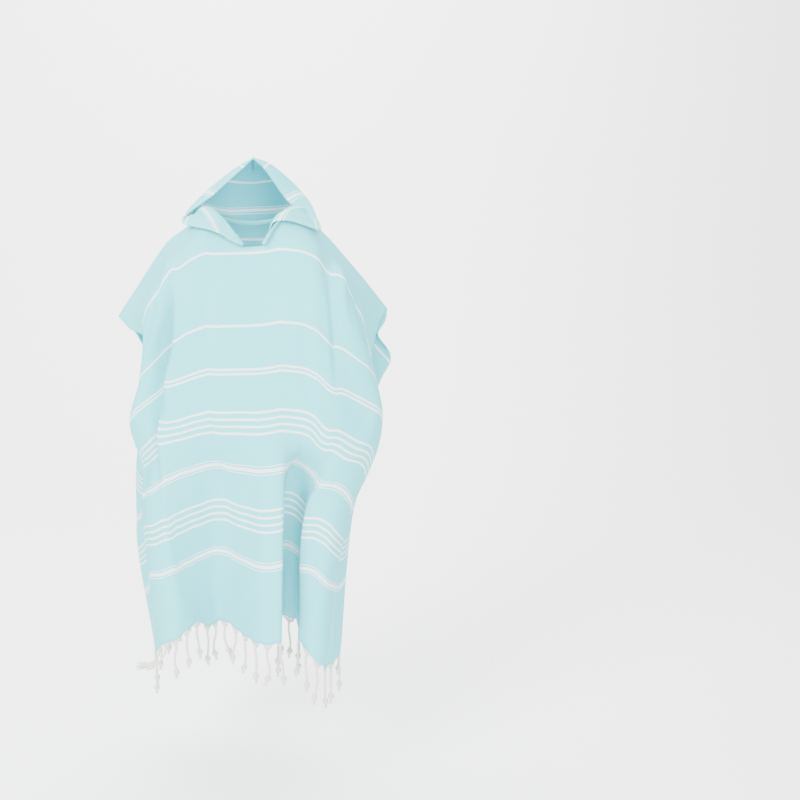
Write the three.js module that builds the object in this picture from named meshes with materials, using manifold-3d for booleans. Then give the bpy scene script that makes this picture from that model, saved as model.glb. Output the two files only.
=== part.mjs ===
// A child's hooded bath poncho of flat-woven cotton, worn open over the shoulders with no wearer in it.
// Millimetres, +Z up. The origin is on the shoulder line in the middle of the neck, and the front faces -Y.
// Every warp thread of the front and back keeps its woven length: its drop is worked out from how far
// the tables below lead it sideways and outwards.
import * as THREE from "three";
import Module from "manifold-3d";

const wasm = await Module();
wasm.setup();

// Driving sizes of the cut cloth
const clothWidth = 640;
const bodyLength = 763;
const hoodHeight = 305;
const wall = 1.6;
const seamGap = 0.3;

// Neck opening, measured along the cloth
const neckHalf = 75;
const frontNeckDrop = 95;
const frontNeckFlat = { from: -19, to: 20 };
const backNeckDrop = 68;
const frontNeckBend = 0.85;

// The side seam starts this far below the shoulder fold and runs to the hem; above it is the armhole
const armhole = 232;

// Knotted fringe on both hems
const strandsPerHem = 24;
const strandRadius = 2.3;
const knotRadius = 5.6;
const strandLength = 68;
const stripHeight = 4;

const cottonColor = 0xc9eef0;
const fringeColor = 0xf1efee;

const halfWidth = clothWidth / 2;

// Turns rows of numbers into objects with the named columns
function table(columns, rows) {
  return rows.map((row) => Object.fromEntries(columns.map((name, i) => [name, row[i]])));
}

// Smooth curve through the values at uneven knots
function smooth(knots, values, at) {
  const last = knots.length - 1;
  let i = 0;
  while (i < last - 1 && at > knots[i + 1]) i++;
  const slope = (k) => {
    const low = Math.max(0, k - 1);
    const high = Math.min(last, k + 1);
    return (values[high] - values[low]) / (knots[high] - knots[low]);
  };
  const span = knots[i + 1] - knots[i];
  const s = (at - knots[i]) / span;
  const rise = values[i + 1] - values[i];
  const m0 = slope(i) * span;
  const m1 = slope(i + 1) * span;
  return values[i] + s * (m0 + s * (3 * rise - 2 * m0 - m1 + s * (m0 + m1 - 2 * rise)));
}

function ease(from, to, at) {
  const s = Math.min(1, Math.max(0, (at - from) / (to - from)));
  return s * s * (3 - 2 * s);
}

// The shoulder fold: where each place across the cloth crosses the shoulders and upper arms
const shoulder = table(["on", "x", "y", "z"], [
  [-320, -236, 45, -189],
  [-245, -194, 38, -127],
  [-166, -148, 25, -62],
  [-128, -118, 12, -39],
  [-75, -74, 0, -8],
  [0, 0, 0, 0],
  [75, 74, 0, -8],
  [128, 117, 12, -42],
  [188, 157, 28, -84],
  [250, 196, 38, -128],
  [320, 235, 45, -176],
]);
const shoulderOn = shoulder.map((row) => row.on);

function shoulderPoint(on) {
  return ["x", "y", "z"].map((axis) => smooth(shoulderOn, shoulder.map((row) => row[axis]), on));
}

// Distances from the shoulder fold at which the tables say where the threads are. Up to the roll a thread
// runs nearly level, over the rounded shoulder, by this share of the roll and of the way to the yoke.
const roll = 48;
const rollLevel = 0.92;
const rollMost = 0.62;
const stations = { yoke: 105, chest: 225, ribs: 300, waist: 388, hip: 508, hem: 763 };
const stationNames = Object.keys(stations);
const stationColumns = ["on", ...stationNames.flatMap((name) => [name + "X", name + "Y"]), "takeUp", "lift"];

// How much of a row's lift a place on the thread gets: none above `from`, all between `full` and `fading`
const lifted = { from: 300, full: 464, fading: 628, to: 763 };

function liftShare(t) {
  return ease(lifted.from, lifted.full, t) * (1 - ease(lifted.fading, lifted.to, t));
}

// Front: one row for each crest, side and valley of the folds, from the left edge seen in front to the right
const frontFolds = table(stationColumns, [
  [-320, -180, -38, -174, -18, -188, -6, -194, 2, -188, -20, -176, -52, 85, 12],
  [-285, -184, -52, -194, -26, -212, -22, -194, -16, -194, -38, -166, -80, 78, 12],
  [-250, -176, -62, -190, -42, -203, -46, -180, -44, -188, -62, -150, -102, 68, 2],
  [-225, -162, -68, -170, -50, -180, -48, -168, -56, -173, -80, -132, -112, 60, -5],
  [-200, -150, -70, -150, -46, -155, -42, -156, -56, -155, -92, -114, -102, 52, -11],
  [-172, -138, -66, -131, -48, -140, -50, -160, -86, -138, -93, -97, -80, 36, -16],
  [-145, -126, -70, -132, -78, -147, -86, -138, -93, -114, -88, -80, -58, 20, 5],
  [-110, -105, -74, -110, -86, -112, -91, -103, -94, -77, -74, -62, -44, 14, 6],
  [-75, -75, -71, -75, -88, -72, -92, -68, -97, -46, -76, -37, -68, 6, 0],
  [-38, -38, -68, -38, -89, -34, -95, -32, -101, -16, -98, -12, -102, 2, 0],
  [0, 0, -67, 2, -90, 4, -97, 5, -106, 14, -120, 14, -136, 0, 0],
  [40, 40, -72, 42, -94, 44, -99, 44, -110, 48, -125, 47, -142, 0, 0],
  [75, 74, -79, 78, -99, 79, -103, 76, -110, 50, -100, 44, -112, 0, 0],
  [108, 103, -80, 105, -100, 105, -106, 98, -116, 56, -70, 46, -78, 10, 0],
  [135, 119, -72, 122, -94, 124, -106, 113, -121, 78, -60, 55, -46, 16, 0],
  [160, 133, -71, 134, -90, 140, -104, 128, -122, 93, -76, 77, -42, 20, 0],
  [182, 148, -73, 152, -88, 160, -98, 146, -119, 92, -106, 84, -64, 18, 0],
  [205, 155, -68, 172, -86, 184, -92, 163, -113, 91, -122, 80, -92, 20, 0],
  [232, 167, -61, 195, -76, 208, -82, 184, -100, 114, -134, 79, -122, 38, 6],
  [262, 185, -46, 212, -52, 219, -56, 196, -78, 144, -126, 96, -150, 66, 12],
  [295, 194, -24, 206, -24, 208, -32, 192, -48, 157, -94, 119, -146, 92, 24],
  [320, 204, -8, 200, 2, 196, -14, 184, -24, 155, -70, 128, -116, 106, 27],
]);

// Back: wide, shallow folds that fall from the shoulder blades
const backFolds = table(stationColumns, [
  [-320, -186, 60, -174, -17, -188, -5, -194, 3, -210, 8, -176, -10, 85, 12],
  [-270, -186, 92, -194, 44, -204, 38, -212, 44, -208, 50, -182, 44, 76, 9],
  [-215, -164, 104, -180, 92, -186, 88, -186, 92, -176, 96, -152, 98, 60, 0],
  [-160, -138, 104, -142, 110, -142, 116, -140, 122, -132, 126, -112, 132, 40, 0],
  [-115, -108, 95, -110, 104, -108, 106, -104, 108, -99, 108, -88, 112, 20, 0],
  [-75, -74, 88, -74, 102, -72, 108, -69, 112, -67, 119, -62, 128, 9, 0],
  [-38, -37, 84, -36, 103, -34, 112, -34, 121, -34, 132, -33, 143, 3, 0],
  [0, 0, 84, 2, 106, 2, 118, 0, 128, 0, 138, -4, 148, 0, 0],
  [38, 38, 84, 40, 103, 38, 109, 35, 116, 32, 120, 25, 127, 3, 0],
  [75, 74, 88, 76, 102, 73, 106, 68, 110, 62, 116, 52, 122, 9, 0],
  [115, 108, 95, 111, 104, 108, 108, 102, 114, 91, 126, 77, 138, 20, 0],
  [160, 140, 102, 144, 108, 142, 108, 138, 112, 128, 120, 112, 130, 40, 0],
  [215, 168, 104, 184, 92, 190, 84, 184, 82, 168, 80, 148, 76, 60, 6],
  [270, 204, 98, 216, 52, 214, 36, 200, 26, 178, 10, 160, -20, 78, 20],
  [320, 238, 72, 200, 3, 196, -13, 184, -23, 155, -69, 128, -115, 106, 27],
]);

// Side and depth of the cloth at each station, for one place across it
function threadStations(folds, on) {
  const ons = folds.map((row) => row.on);
  const at = (column) => smooth(ons, folds.map((row) => row[column]), on);
  const [x0, y0] = shoulderPoint(on);
  const knots = [0, roll, ...stationNames.map((name) => stations[name])];
  const xs = stationNames.map((name) => at(name + "X"));
  const ys = stationNames.map((name) => at(name + "Y"));
  const share = Math.min(rollMost, (rollLevel * roll) / Math.hypot(xs[0] - x0, ys[0] - y0));
  return {
    knots,
    xs: [x0, x0 + (xs[0] - x0) * share, ...xs],
    ys: [y0, y0 + (ys[0] - y0) * share, ...ys],
    takeUp: at("takeUp") / (stations.hem - stations.chest),
    lift: at("lift"),
  };
}

// One warp thread as points at the given distances. Its drop is found in short steps by keeping its length,
// and no step is flatter than leastDrop allows.
const threadStep = 4;
const leastDrop = 0.1;

function thread(folds, on, distances) {
  const { knots, xs, ys, takeUp, lift } = threadStations(folds, on);
  const place = (t) => [smooth(knots, xs, t), smooth(knots, ys, t)];
  let z = shoulderPoint(on)[2];
  let before = place(0);
  let t = 0;
  return distances.map((target) => {
    while (t < target - 1e-9) {
      const step = Math.min(threadStep, target - t);
      t += step;
      const now = place(t);
      const sideways = Math.hypot(now[0] - before[0], now[1] - before[1]);
      z -= Math.sqrt(Math.max((leastDrop * step) ** 2, step ** 2 - sideways ** 2));
      if (t > stations.chest) z += takeUp * step;
      before = now;
    }
    return new THREE.Vector3(...place(target), z + lift * liftShare(target));
  });
}

// Places across the cloth: each stretch between two table rows is divided alike
function columnsAcross(folds, pieces) {
  const places = [folds[0].on];
  for (let i = 1; i < folds.length; i++) {
    for (let k = 1; k <= pieces; k++) {
      places.push(folds[i - 1].on + ((folds[i].on - folds[i - 1].on) * k) / pieces);
    }
  }
  return places;
}

// How far below the shoulder fold the neckline is cut
function frontNeck(on) {
  const { from, to } = frontNeckFlat;
  const left = (on + neckHalf) / (from + neckHalf);
  const right = (neckHalf - on) / (neckHalf - to);
  const rise = Math.min(left, right, 1);
  return frontNeckDrop * Math.max(0, Math.min(1, rise)) ** frontNeckBend;
}

function backNeck(on) {
  return backNeckDrop * Math.sqrt(Math.max(0, 1 - (on / neckHalf) ** 2));
}

const rowShares = [
  0, 0.011, 0.022, 0.036, 0.055, 0.08, 0.11, 0.145, 0.185, 0.23, 0.275, 0.32, 0.365, 0.41,
  0.455, 0.5, 0.56, 0.62, 0.68, 0.74, 0.8, 0.87, 0.935, 1,
];

function panelGrid(folds, neck, places) {
  return places.map((on) => {
    const start = Math.max(neck(on), seamGap / 2);
    return thread(folds, on, rowShares.map((share) => start + (bodyLength - start) * share));
  });
}

// Brings the side edges of the two panels together along the seam and keeps them apart at the armhole
function joinSides(front, back) {
  for (const [a, b] of [[front[0], back.at(-1)], [front.at(-1), back[0]]]) {
    rowShares.forEach((share, row) => {
      const sewn = share * bodyLength > armhole;
      const apart = sewn ? seamGap : Math.max(seamGap, b[row].y - a[row].y);
      const middle = a[row].clone().add(b[row]).multiplyScalar(0.5);
      if (sewn) [a[row], b[row]].forEach((point) => point.copy(middle));
      a[row].y = middle.y - apart / 2;
      b[row].y = middle.y + apart / 2;
    });
  }
}

// Where two panels meet, both walls are cut in the same plane across the seam
function mitre(places, grid, neck) {
  const last = places.length - 1;
  return (column, row) => {
    if (row === 0 && neck(places[column]) <= 0) {
      const along = grid[Math.min(last, column + 1)][0].clone().sub(grid[Math.max(0, column - 1)][0]);
      const up = along.cross(new THREE.Vector3(0, 1, 0)).normalize();
      return up.z < 0 ? up.negate() : up;
    }
    const sewn = rowShares[row] * bodyLength > armhole;
    if (sewn && (column === 0 || column === last)) return new THREE.Vector3(Math.sign(places[column]), 0, 0);
    return null;
  };
}

// Outward direction of the cloth at one place of a grid, from its neighbours
function outward(grid, column, row) {
  const last = grid.length - 1;
  const across = grid[Math.min(last, column + 1)][row].clone().sub(grid[Math.max(0, column - 1)][row]);
  const rows = grid[column].length - 1;
  const along = grid[column][Math.min(rows, row + 1)].clone().sub(grid[column][Math.max(0, row - 1)]);
  return along.cross(across).normalize();
}

// A closed wall of cloth around a grid of points, grid[column][row], with its normals where they are given
function shellGeometry(grid, normalAt) {
  const columns = grid.length;
  const rows = grid[0].length;
  const positions = [];
  for (let c = 0; c < columns; c++) {
    for (let r = 0; r < rows; r++) {
      const normal = normalAt(c, r) ?? outward(grid, c, r);
      for (const side of [wall / 2, -wall / 2]) {
        positions.push(...grid[c][r].clone().addScaledVector(normal, side));
      }
    }
  }
  const outer = (c, r) => 2 * (c * rows + r);
  const inner = (c, r) => 2 * (c * rows + r) + 1;
  const index = [];
  const quad = (a, b, c, d) => index.push(a, b, c, a, c, d);
  for (let c = 0; c + 1 < columns; c++) {
    for (let r = 0; r + 1 < rows; r++) {
      quad(outer(c, r), outer(c, r + 1), outer(c + 1, r + 1), outer(c + 1, r));
      quad(inner(c, r), inner(c + 1, r), inner(c + 1, r + 1), inner(c, r + 1));
    }
    quad(outer(c, 0), outer(c + 1, 0), inner(c + 1, 0), inner(c, 0));
    quad(outer(c, rows - 1), inner(c, rows - 1), inner(c + 1, rows - 1), outer(c + 1, rows - 1));
  }
  for (let r = 0; r + 1 < rows; r++) {
    quad(outer(0, r), inner(0, r), inner(0, r + 1), outer(0, r + 1));
    quad(outer(columns - 1, r), outer(columns - 1, r + 1), inner(columns - 1, r + 1), inner(columns - 1, r));
  }
  const geometry = new THREE.BufferGeometry();
  geometry.setAttribute("position", new THREE.Float32BufferAttribute(positions, 3));
  geometry.setIndex(index);
  return geometry;
}

// The cut edge of one panel's neckline
function necklineOf(panel, places, normalAt) {
  return places.flatMap((on, column) => {
    if (Math.abs(on) > neckHalf) return [];
    const normal = normalAt(column, 0) ?? outward(panel, column, 0);
    return [{ on, edge: panel[column][0].clone(), normal }];
  });
}

const columnsPerFold = 2;
const frontPlaces = columnsAcross(frontFolds, columnsPerFold);
const backPlaces = frontPlaces.toReversed();
const frontGrid = panelGrid(frontFolds, frontNeck, frontPlaces);
const backGrid = panelGrid(backFolds, backNeck, backPlaces);
joinSides(frontGrid, backGrid);
const frontNormals = mitre(frontPlaces, frontGrid, frontNeck);
const backNormals = mitre(backPlaces, backGrid, backNeck);
const frontEdge = necklineOf(frontGrid, frontPlaces, frontNormals);
const backEdge = necklineOf(backGrid, backPlaces, backNormals);

// The sewn neckline, from the left end of the flat front round the back to the right end of the flat front
const neckline = [
  ...frontEdge.filter((p) => p.on <= frontNeckFlat.from).toReversed(),
  ...backEdge.filter((p) => Math.abs(p.on) < neckHalf).toReversed(),
  ...frontEdge.filter((p) => p.on >= frontNeckFlat.to).toReversed(),
];
neckline.forEach((point, i) => {
  if (Math.abs(point.on) === neckHalf) point.edge.y += seamGap / 2;
  const before = neckline[Math.max(0, i - 1)].edge;
  const after = neckline[Math.min(neckline.length - 1, i + 1)].edge;
  point.run = after.clone().sub(before).cross(point.normal).normalize();
});

// Hood: how far each level lies above the neck seam along the cloth
const hoodLevels = { collar: 30, corner: 50, flap: 75, tip: 140, wide: 214, thin: 284 };
const hoodLevelNames = Object.keys(hoodLevels);
const hoodLevelColumns = hoodLevelNames.flatMap((name) => [name + "X", name + "Y", name + "Z"]);
const hoodColumns = ["round", ...hoodLevelColumns, "topY", "topZ"];

// One row for each line up the hood, from its left front edge (-1) round the back (0) to its right one (1)
const hoodLines = table(hoodColumns, [
  [-1, -38, -76, -52, -52, -74, -43, -68, -71, -37, -118, -26, -23, -67, 10, 20, -17, 17, 64, 15, 79],
  [-0.93, -43, -65, -40, -56, -62, -33, -74, -57, -27, -115, -12, -18, -79, 25, 23, -24, 28, 66, 25, 79],
  [-0.86, -48, -54, -28, -61, -50, -22, -80, -42, -16, -106, 2, -12, -86, 40, 18, -32, 40, 60, 35, 78],
  [-0.7, -64, -26, -6, -76, -20, -4, -90, -12, -6, -102, 26, -16, -90, 62, 3, -40, 58, 52, 54, 77],
  [-0.5, -82, 14, 0, -90, 18, -4, -94, 24, -12, -98, 62, -26, -70, 102, -4, -48, 84, 44, 76, 72],
  [-0.25, -62, 64, -14, -70, 72, -22, -76, 84, -38, -78, 118, -58, -44, 136, -9, -38, 108, 42, 98, 66],
  [0, 2, 86, -26, 0, 98, -38, 0, 114, -54, 0, 150, -78, 0, 150, -8, 0, 124, 40, 110, 60],
  [0.25, 64, 64, -16, 70, 72, -24, 76, 84, -40, 78, 118, -58, 46, 136, -6, 36, 108, 44, 98, 66],
  [0.5, 82, 14, -2, 90, 18, -5, 94, 24, -14, 98, 62, -26, 74, 100, 0, 46, 84, 46, 76, 72],
  [0.7, 62, -20, 0, 72, -14, 0, 84, -8, -4, 102, 26, -18, 90, 62, 6, 40, 58, 56, 54, 77],
  [0.86, 38, -38, -18, 48, -38, -8, 66, -34, -6, 104, -2, -18, 88, 38, 18, 34, 40, 66, 35, 79],
  [0.93, 31, -47, -32, 40, -50, -15, 62, -48, -13, 108, -16, -24, 76, 26, 20, 27, 28, 70, 25, 80],
  [1, 26, -56, -44, 33, -62, -25, 57, -62, -22, 112, -34, -37, 58, 10, 11, 19, 17, 63, 15, 79],
]);
const hoodRound = hoodLines.map((row) => row.round);
const hoodRises = [
  0, 3, 7, 10.5, 14, 21, 30, 41, 57, 75, 95, 117, 140, 165, 190, 214, 238, 262, 284, 296, hoodHeight,
];
const hoodPieces = { front: 3, back: 2 };
const rollRadius = 4.5;
const peakGape = 2.2;

// The halves of the top seam part within seamSplit of the way round, and the peak gapes beyond gapeFrom
const seamSplit = 0.125;
const gapeFrom = 0.8;

// Reads a list of points with a running length at the given share of the whole
function alongList(list, read, share) {
  const lengths = [0];
  for (let i = 1; i < list.length; i++) {
    lengths.push(lengths[i - 1] + list[i].edge.distanceTo(list[i - 1].edge));
  }
  const target = Math.min(lengths.at(-1) - 1e-6, Math.max(0, share * lengths.at(-1)));
  let i = 0;
  while (lengths[i + 1] < target) i++;
  const part = (target - lengths[i]) / (lengths[i + 1] - lengths[i]);
  return read(list[i]).clone().lerp(read(list[i + 1]), part);
}

// The two halves of the top seam lie side by side, a little open at the peak
function topSide(round) {
  const away = Math.min(1, Math.abs(round) / seamSplit);
  const half = (away * (wall + seamGap)) / 2 + peakGape * ease(gapeFrom, 1, Math.abs(round));
  return Math.sign(round) * half;
}

function hoodLine(round) {
  const share = (round + 1) / 2;
  const edge = alongList(neckline, (p) => p.edge, share);
  const run = alongList(neckline, (p) => p.run, share).normalize();
  const at = (column) => smooth(hoodRound, hoodLines.map((row) => row[column]), round);
  const normal = alongList(neckline, (p) => p.normal, share).normalize();
  const quarter = (rollRadius * Math.PI) / 2;
  const knots = [0, quarter, 2 * quarter, ...hoodLevelNames.map((name) => hoodLevels[name]), hoodHeight];
  const start = edge.clone().addScaledVector(run, seamGap);
  const stand = start.clone().addScaledVector(run, rollRadius).addScaledVector(normal, rollRadius);
  const crest = start.clone().addScaledVector(normal, 2 * rollRadius);
  const top = { x: topSide(round), y: at("topY"), z: at("topZ") };
  const levels = (axis) => hoodLevelNames.map((name) => at(name + axis.toUpperCase()));
  const values = (axis) => [start[axis], stand[axis], crest[axis], ...levels(axis), top[axis]];
  const tracks = ["x", "y", "z"].map(values);
  return hoodRises.map((rise) => new THREE.Vector3(...tracks.map((track) => smooth(knots, track, rise))));
}

// Columns round the hood, each stretch of the neckline between two of its points divided alike
const hoodPlaces = [];
const necklineReach = [0];
for (let i = 1; i < neckline.length; i++) {
  necklineReach.push(necklineReach[i - 1] + neckline[i].edge.distanceTo(neckline[i - 1].edge));
}
for (let i = 0; i + 1 < neckline.length; i++) {
  const pieces = neckline[i].edge.y < 0 || neckline[i + 1].edge.y < 0 ? hoodPieces.front : hoodPieces.back;
  for (let k = 0; k < pieces; k++) {
    const reach = necklineReach[i] + ((necklineReach[i + 1] - necklineReach[i]) * k) / pieces;
    hoodPlaces.push((2 * reach) / necklineReach.at(-1) - 1);
  }
}
hoodPlaces.push(1);
hoodPlaces.reverse();
const hoodGrid = hoodPlaces.map((round) => hoodLine(round).toReversed());
const seamRow = hoodRises.length - 1;
function hoodNormals(column, row) {
  const round = hoodPlaces[column];
  if (row === seamRow) return alongList(neckline, (p) => p.normal, (round + 1) / 2).normalize();
  if (row === 0 && Math.abs(round) > seamSplit) return new THREE.Vector3(Math.sign(round), 0, 0);
  return null;
}

// Strands of the fringe that do not simply hang down: how far they lead sideways and forwards
const strandHabit = table(["strand", "side", "forward"], [
  [0, -30, -8],
  [1, -24, 6],
  [2, -14, -6],
  [5, 7, -4],
  [8, -5, 2],
  [13, 6, 0],
  [17, 5, -6],
  [21, 4, 3],
]);
const strandRings = table(["down", "radius"], [
  [-1.4, strandRadius * 0.6],
  [3, strandRadius],
  [24, strandRadius],
  [49, strandRadius],
  [56, knotRadius],
  [63, strandRadius * 0.8],
  [strandLength + 6, strandRadius * 1.2],
]);
const strandSides = 4;

// Strands sway from side to side, and one led sideways falls less far. The root is as thin as the strip.
const sway = { width: 3, perMillimetre: 0.1, fromStrandToStrand: 2.4, growth: 3 };
const sidewaysTilt = 1.6;
const rootFlat = 0.36;

function strandGeometry(root, outwards, habit, strand) {
  const positions = [];
  for (const { down, radius } of strandRings) {
    const share = Math.max(0, down) / strandLength;
    const turn = down * sway.perMillimetre + strand * sway.fromStrandToStrand;
    const wave = sway.width * Math.sin(turn) * Math.min(1, share * sway.growth);
    const across = new THREE.Vector3(outwards.y, -outwards.x, 0).normalize();
    const lead = new THREE.Vector3(habit.side * share ** 2, habit.forward * share, 0);
    const centre = root.clone().add(lead).addScaledVector(across, wave);
    const tilt = (habit.side * share * sidewaysTilt) / strandLength;
    centre.z -= down * Math.sqrt(Math.max(leastDrop, 1 - tilt ** 2));
    for (let side = 0; side < strandSides; side++) {
      const angle = ((side + 0.5) * 2 * Math.PI) / strandSides;
      const flat = down < 1 ? (wall * rootFlat) / radius : 1;
      positions.push(...centre.clone()
        .addScaledVector(across, radius * Math.cos(angle))
        .addScaledVector(outwards, radius * flat * Math.sin(angle)));
    }
  }
  const index = [];
  const rings = strandRings.length;
  for (let ring = 0; ring + 1 < rings; ring++) {
    for (let side = 0; side < strandSides; side++) {
      const next = (side + 1) % strandSides;
      const a = ring * strandSides + side;
      const b = ring * strandSides + next;
      index.push(a, b, b + strandSides, a, b + strandSides, a + strandSides);
    }
  }
  const end = (rings - 1) * strandSides;
  index.push(0, 2, 1, 0, 3, 2, end, end + 1, end + 2, end, end + 2, end + 3);
  return { positions, index };
}

function solid({ positions, index }) {
  const vertProperties = new Float32Array(positions);
  const triVerts = new Uint32Array(index);
  const made = new wasm.Manifold(new wasm.Mesh({ numProp: 3, vertProperties, triVerts }));
  if (made.volume() > 0) return made;
  for (let i = 0; i < index.length; i += 3) [index[i], index[i + 1]] = [index[i + 1], index[i]];
  return new wasm.Manifold(new wasm.Mesh({ numProp: 3, vertProperties, triVerts: new Uint32Array(index) }));
}

// A narrow strip just under the hem with the strands fused to it
function fringeGeometry(panel, normalAt, facing, places) {
  const last = panel[0].length - 1;
  const grid = panel.map((line) => {
    const run = line[last].clone().sub(line[last - 1]).normalize();
    return [seamGap, stripHeight].map((reach) => line[last].clone().addScaledVector(run, reach));
  });
  const strip = shellGeometry(grid, (column) => normalAt(column, last) ?? outward(panel, column, last));
  let body = solid({ positions: [...strip.getAttribute("position").array], index: [...strip.index.array] });
  for (let strand = 0; strand < strandsPerHem; strand++) {
    const on = -halfWidth + ((strand + 0.5) * clothWidth) / strandsPerHem;
    const column = places.findIndex((place, i) => (place - on) * (places[i + 1] - on) <= 0);
    const part = (on - places[column]) / (places[column + 1] - places[column]);
    const root = grid[column][1].clone().lerp(grid[column + 1][1], part);
    const outwards = outward(panel, column, last).setZ(0).normalize();
    const led = facing < 0 && strandHabit.find((row) => row.strand === strand);
    const habit = led || { side: 0, forward: 0 };
    body = body.add(solid(strandGeometry(root, outwards, habit, strand)));
  }
  const mesh = body.getMesh();
  const geometry = new THREE.BufferGeometry();
  geometry.setAttribute("position", new THREE.Float32BufferAttribute(mesh.vertProperties, mesh.numProp));
  geometry.setIndex([...mesh.triVerts]);
  return geometry;
}

const poncho = new THREE.Group();
function addMesh(name, geometry, color) {
  geometry.computeVertexNormals();
  const material = new THREE.MeshStandardMaterial({ color, roughness: 0.9, metalness: 0 });
  const mesh = new THREE.Mesh(geometry, material);
  mesh.name = name;
  poncho.add(mesh);
}

addMesh("front", shellGeometry(frontGrid, frontNormals), cottonColor);
addMesh("back", shellGeometry(backGrid, backNormals), cottonColor);
addMesh("hood", shellGeometry(hoodGrid, hoodNormals), cottonColor);
addMesh("front_fringe", fringeGeometry(frontGrid, frontNormals, -1, frontPlaces), fringeColor);
addMesh("back_fringe", fringeGeometry(backGrid, backNormals, 1, backPlaces), fringeColor);

export default poncho;
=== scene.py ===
import math
import random

import bpy
import numpy as np
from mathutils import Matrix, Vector


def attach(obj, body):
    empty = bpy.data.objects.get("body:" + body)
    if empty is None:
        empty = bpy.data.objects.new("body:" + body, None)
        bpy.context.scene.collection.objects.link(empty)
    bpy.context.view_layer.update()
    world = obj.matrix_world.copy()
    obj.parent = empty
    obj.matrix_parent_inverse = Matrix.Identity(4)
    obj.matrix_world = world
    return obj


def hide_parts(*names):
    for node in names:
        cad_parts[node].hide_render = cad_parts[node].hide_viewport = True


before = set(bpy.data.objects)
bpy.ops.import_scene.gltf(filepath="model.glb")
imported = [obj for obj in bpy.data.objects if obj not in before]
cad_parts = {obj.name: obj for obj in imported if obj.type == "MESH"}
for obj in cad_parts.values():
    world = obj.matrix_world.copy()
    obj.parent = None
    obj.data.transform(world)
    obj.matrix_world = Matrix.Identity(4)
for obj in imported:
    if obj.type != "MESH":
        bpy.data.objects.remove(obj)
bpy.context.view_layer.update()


# Body: one length of flat-woven cotton, 640 mm by 1526 mm, laid over the shoulders along its middle.
# Each warp thread is led by the tables of folds and keeps its woven length, less what fine creases take up,
# so the cross stripes fall where the cloth takes them. The sides are sewn from below the armholes to the hem.
cloth_half = 320.0
body_length = 763.0
neck_half = 75.0
front_neck_drop = 95.0
front_neck_flat = (-19.0, 20.0)
back_neck_drop = 68.0
armhole = 232.0
roll = 48.0
roll_level = 0.92
roll_most = 0.62
thread_step = 4.0
least_drop = 0.1
front_neck_bend = 0.85
cloth_thickness = 0.0011
column_step = 5.0
body_rows = 122
strands_per_hem = 24
scallop_depth = 2.6
scallop_height = 16


def table(columns, rows):
    return [dict(zip(columns, row)) for row in rows]


def smooth(knots, values, at):
    """Smooth curve through the values at uneven knots."""
    last = len(knots) - 1
    i = 0
    while i < last - 1 and at > knots[i + 1]:
        i += 1

    def slope(k):
        low, high = max(0, k - 1), min(last, k + 1)
        return (values[high] - values[low]) / (knots[high] - knots[low])

    span = knots[i + 1] - knots[i]
    s = (at - knots[i]) / span
    rise = values[i + 1] - values[i]
    m0, m1 = slope(i) * span, slope(i + 1) * span
    return values[i] + s * (m0 + s * (3 * rise - 2 * m0 - m1 + s * (m0 + m1 - 2 * rise)))


def ease(low, high, at):
    s = min(1.0, max(0.0, (at - low) / (high - low)))
    return s * s * (3 - 2 * s)


shoulder = table(["on", "x", "y", "z"], [
    [-320, -236, 45, -189],
    [-245, -194, 38, -127],
    [-166, -148, 25, -62],
    [-128, -118, 12, -39],
    [-75, -74, 0, -8],
    [0, 0, 0, 0],
    [75, 74, 0, -8],
    [128, 117, 12, -42],
    [188, 157, 28, -84],
    [250, 196, 38, -128],
    [320, 235, 45, -176],
])
stations = {"yoke": 105, "chest": 225, "ribs": 300, "waist": 388, "hip": 508, "hem": 763}
station_columns = ["on"] + [name + axis for name in stations for axis in "XY"] + ["takeUp", "lift"]
# How much of a row's lift a place on the thread gets: none above "from", all between "full" and "fading"
lifted = {"from": 300, "full": 464, "fading": 628, "to": 763}

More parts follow.
